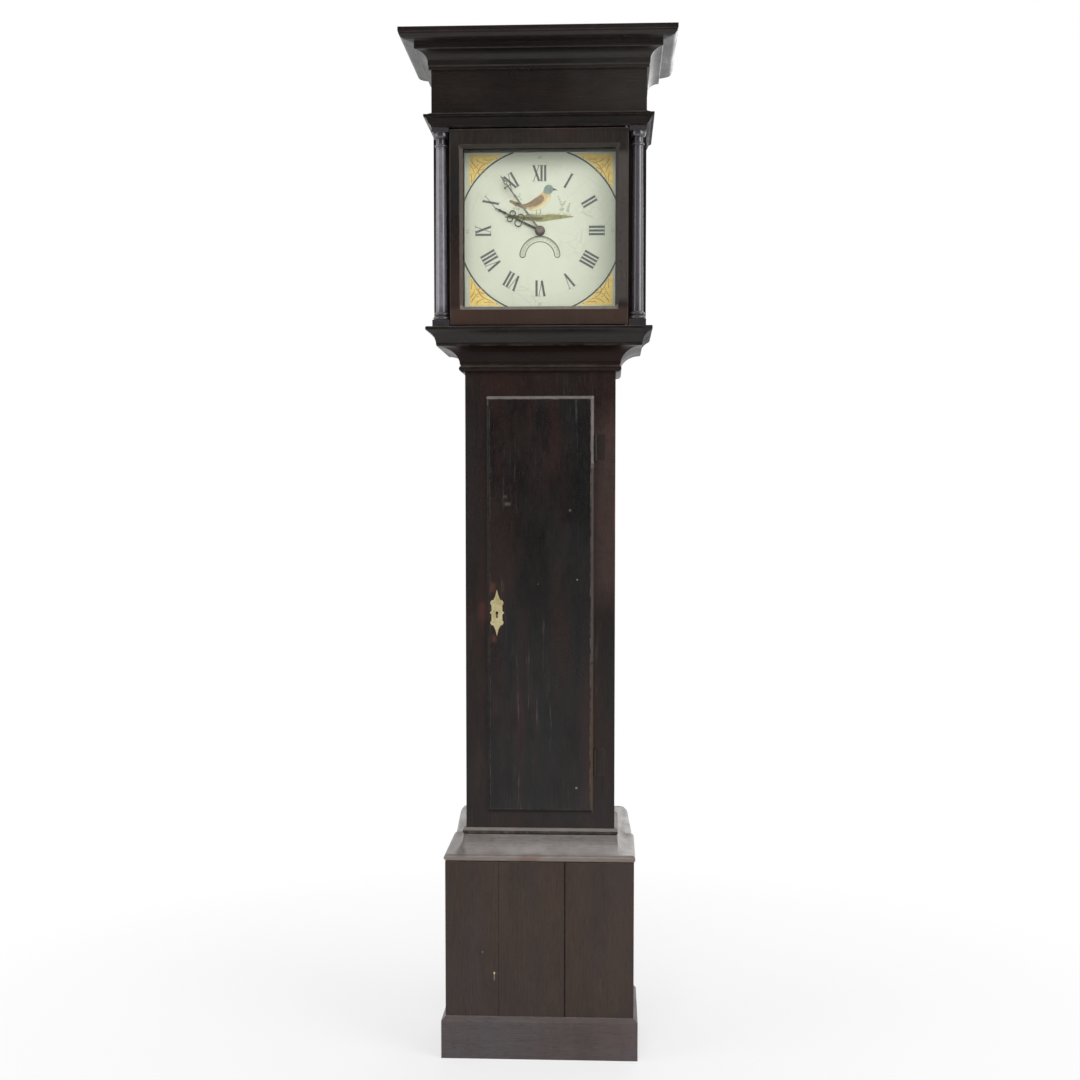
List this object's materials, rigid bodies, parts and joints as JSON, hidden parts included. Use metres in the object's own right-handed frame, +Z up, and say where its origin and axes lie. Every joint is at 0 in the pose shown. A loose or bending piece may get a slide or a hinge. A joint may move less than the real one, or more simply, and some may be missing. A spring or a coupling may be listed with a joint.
{
  "type": "longcase clock",
  "caption": "Longcase clock: ebonised case with cornice, columns and glazed hood door, painted square dial, and a rope-driven striking movement with pendulum.",
  "frame": {"origin": "centre of the whole clock's footprint box, on the floor", "axes": "+Z up, -Y the dial side, +X to the right seen from the front"},
  "size_m": [0.51, 0.283, 1.94],
  "materials": {
    "base_wood": "worn dark stain, satin",
    "plinth_wood": "worn dark stain, dusty satin",
    "trunk_wood": "ebonised oak, satin",
    "hood_wood": "ebonised oak, satin",
    "column_wood": "ebonised and polished",
    "inner_wood": "raw pine and oak",
    "dial_paint": "painted iron, pale cream, faintly crazed",
    "calendar_paint": "painted iron",
    "hand_steel": "blackened steel",
    "brass": "old polished brass",
    "pale_brass": "pale tarnished brass",
    "hinge_brass": "brass stained over with the case",
    "steel": "old steel",
    "iron": "dark iron",
    "bell_metal": "grey bell metal",
    "glass": "clear",
    "rope": "hemp rope"
  },
  "bodies": {
    "case": {"plinth": "plinth_wood", "base_front": "base_wood", "base_sides": "base_wood", "base_floor": "inner_wood", "base_moulding": "base_wood", "backboard": "inner_wood", "trunk_sides": "trunk_wood", "trunk_frame": "trunk_wood", "throat_moulding": "trunk_wood", "seat_board": "inner_wood", "trunk_hinge_plates": "hinge_brass", "dial": "dial_paint", "front_plate": "brass", "back_plate": "brass", "seat_bolts": "iron", "centre_stud": "steel", "back_cock": "brass", "bell": "bell_metal", "drive_rope": "rope"},
    "trunk_door": {"trunk_door": "trunk_wood", "trunk_hinge_leaves": "hinge_brass", "escutcheon": "pale_brass", "lock_case": "iron"},
    "lock_bolt": {"lock_bolt": "steel"},
    "hood": {"hood_base": "hood_wood", "hood_sides": "hood_wood", "hood_frieze": "hood_wood", "hood_top": "inner_wood", "cornice": "hood_wood", "architrave": "hood_wood", "dial_mask": "hood_wood", "columns": "column_wood"},
    "hood_door": {"hood_door": "hood_wood", "hood_glass": "glass", "hood_door_pivots": "iron"},
    "great_arbor": {"great_wheel": "brass", "motion_driver": "brass"},
    "second_arbor": {"second_wheel": "brass"},
    "escape_arbor": {"escape_wheel": "brass"},
    "anchor_arbor": {"anchor": "steel"},
    "pendulum": {"suspension_spring": "steel", "pendulum_rod": "steel", "pendulum_bob": "brass"},
    "rating_nut": {"rating_nut": "brass"},
    "minute_work": {"minute_pipe": "brass", "minute_hand": "hand_steel"},
    "hour_work": {"hour_wheel": "brass", "hour_hand": "hand_steel"},
    "calendar": {"calendar_disc": "calendar_paint"},
    "strike_great_arbor": {"strike_great_wheel": "brass"},
    "winding": {"winding_pulley": "brass"},
    "hoop_arbor": {"hoop_wheel": "brass"},
    "warning_arbor": {"warning_wheel": "brass"},
    "fly_arbor": {"fly": "steel"},
    "count_work": {"count_wheel": "brass"},
    "hammer_arbor": {"hammer": "steel"},
    "lever_arbor": {"strike_levers": "steel"},
    "driving_weight": {"drive_weight": "iron"},
    "sheave": {"weight_sheave": "brass"},
    "tension_weight": {"tension_weight": "iron"}
  },
  "joints": [
    {"name": "hood_slide", "type": "slide", "parent": "case", "child": "hood", "axis": [0, -1, 0], "range_m": [0, 0.25]},
    {"name": "hood_door_swing", "type": "hinge", "parent": "hood", "child": "hood_door", "pos_m": [0.1625, -0.083, 1.5885], "axis": [0, 0, 1], "range_deg": [0, 92]},
    {"name": "trunk_door_swing", "type": "hinge", "parent": "case", "child": "trunk_door", "pos_m": [0.1063, -0.0335, 0.8775], "axis": [0, 0, 1], "range_deg": [0, 110]},
    {"name": "lock_bolt_throw", "type": "slide", "parent": "trunk_door", "child": "lock_bolt", "axis": [-1, 0, 0], "range_m": [0, 0.008]},
    {"name": "second_arbor_turn", "type": "hinge", "parent": "case", "child": "second_arbor", "pos_m": [0.02235, 0.0215, 1.60215], "axis": [0, 1, 0], "continuous": true},
    {"name": "great_arbor_turn", "type": "hinge", "parent": "case", "child": "great_arbor", "pos_m": [0.036, 0.0215, 1.5669], "axis": [0, 1, 0], "continuous": true},
    {"name": "escape_arbor_turn", "type": "hinge", "parent": "case", "child": "escape_arbor", "pos_m": [0, 0.0215, 1.6191], "axis": [0, 1, 0], "continuous": true},
    {"name": "minute_turn", "type": "hinge", "parent": "case", "child": "minute_work", "pos_m": [0, -0.0235, 1.5885], "axis": [0, 1, 0], "continuous": true},
    {"name": "hour_turn", "type": "hinge", "parent": "case", "child": "hour_work", "pos_m": [0, -0.0235, 1.5885], "axis": [0, 1, 0], "continuous": true},
    {"name": "calendar_turn", "type": "hinge", "parent": "case", "child": "calendar", "pos_m": [0, -0.0385, 1.5405], "axis": [0, 1, 0], "continuous": true},
    {"name": "hoop_arbor_turn", "type": "hinge", "parent": "case", "child": "hoop_arbor", "pos_m": [-0.03929, 0.0215, 1.60456], "axis": [0, 1, 0], "continuous": true},
    {"name": "strike_great_turn", "type": "hinge", "parent": "case", "child": "strike_great_arbor", "pos_m": [-0.036, 0.0215, 1.5669], "axis": [0, 1, 0], "continuous": true},
    {"name": "warning_arbor_turn", "type": "hinge", "parent": "case", "child": "warning_arbor", "pos_m": [-0.03929, 0.0215, 1.63006], "axis": [0, 1, 0], "continuous": true},
    {"name": "fly_turn", "type": "hinge", "parent": "case", "child": "fly_arbor", "pos_m": [-0.0337, 0.0215, 1.65092], "axis": [0, 1, 0], "continuous": true},
    {"name": "count_wheel_turn", "type": "hinge", "parent": "case", "child": "count_work", "pos_m": [-0.036, 0.0615, 1.5417], "axis": [0, 1, 0], "continuous": true},
    {"name": "hammer_lift", "type": "hinge", "parent": "case", "child": "hammer_arbor", "pos_m": [-0.066, 0.0215, 1.5925], "axis": [0, -1, 0], "range_deg": [0, 12]},
    {"name": "strike_lever_lift", "type": "hinge", "parent": "case", "child": "lever_arbor", "pos_m": [-0.065, 0.0215, 1.5285], "axis": [0, -1, 0], "range_deg": [0, 6]},
    {"name": "pendulum_swing", "type": "hinge", "parent": "case", "child": "pendulum", "pos_m": [0, 0.083, 1.64597], "axis": [0, 1, 0], "range_deg": [-2.5, 2.5]},
    {"name": "anchor_rock", "type": "hinge", "parent": "case", "child": "anchor_arbor", "pos_m": [0, 0.0215, 1.64597], "axis": [0, 1, 0], "range_deg": [-2.5, 2.5]},
    {"name": "rating_nut_turn", "type": "hinge", "parent": "pendulum", "child": "rating_nut", "pos_m": [0, 0.083, 0.598], "axis": [0, 0, 1], "continuous": true},
    {"name": "weight_fall", "type": "slide", "parent": "case", "child": "driving_weight", "axis": [0, 0, -1], "range_m": [0, 0.6], "deforming": ["drive_rope"]},
    {"name": "tension_weight_rise", "type": "slide", "parent": "case", "child": "tension_weight", "axis": [0, 0, 1], "range_m": [0, 0.6]},
    {"name": "sheave_turn", "type": "hinge", "parent": "driving_weight", "child": "sheave", "pos_m": [0, 0.0255, 1.1939], "axis": [0, 1, 0], "continuous": true},
    {"name": "winding_pulley_turn", "type": "hinge", "parent": "case", "child": "winding", "pos_m": [-0.036, 0.0255, 1.5669], "axis": [0, 1, 0], "continuous": true}
  ],
  "couplings": [
    {"joint": "great_arbor_turn", "follows": "second_arbor_turn", "ratio": -0.076923},
    {"joint": "escape_arbor_turn", "follows": "second_arbor_turn", "ratio": -10},
    {"joint": "minute_turn", "follows": "second_arbor_turn", "ratio": 0.16667},
    {"joint": "hour_turn", "follows": "second_arbor_turn", "ratio": 0.013889},
    {"joint": "calendar_turn", "follows": "second_arbor_turn", "ratio": -0.00022401},
    {"joint": "strike_great_turn", "follows": "hoop_arbor_turn", "ratio": -0.076923},
    {"joint": "warning_arbor_turn", "follows": "hoop_arbor_turn", "ratio": -9},
    {"joint": "fly_turn", "follows": "hoop_arbor_turn", "ratio": 72},
    {"joint": "count_wheel_turn", "follows": "hoop_arbor_turn", "ratio": 0.012821},
    {"joint": "anchor_rock", "follows": "pendulum_swing", "ratio": 1},
    {"joint": "tension_weight_rise", "follows": "weight_fall", "ratio": 1},
    {"joint": "sheave_turn", "follows": "weight_fall", "rad_per_m": 62.5},
    {"joint": "winding_pulley_turn", "follows": "weight_fall", "rad_per_m": 100}
  ]
}
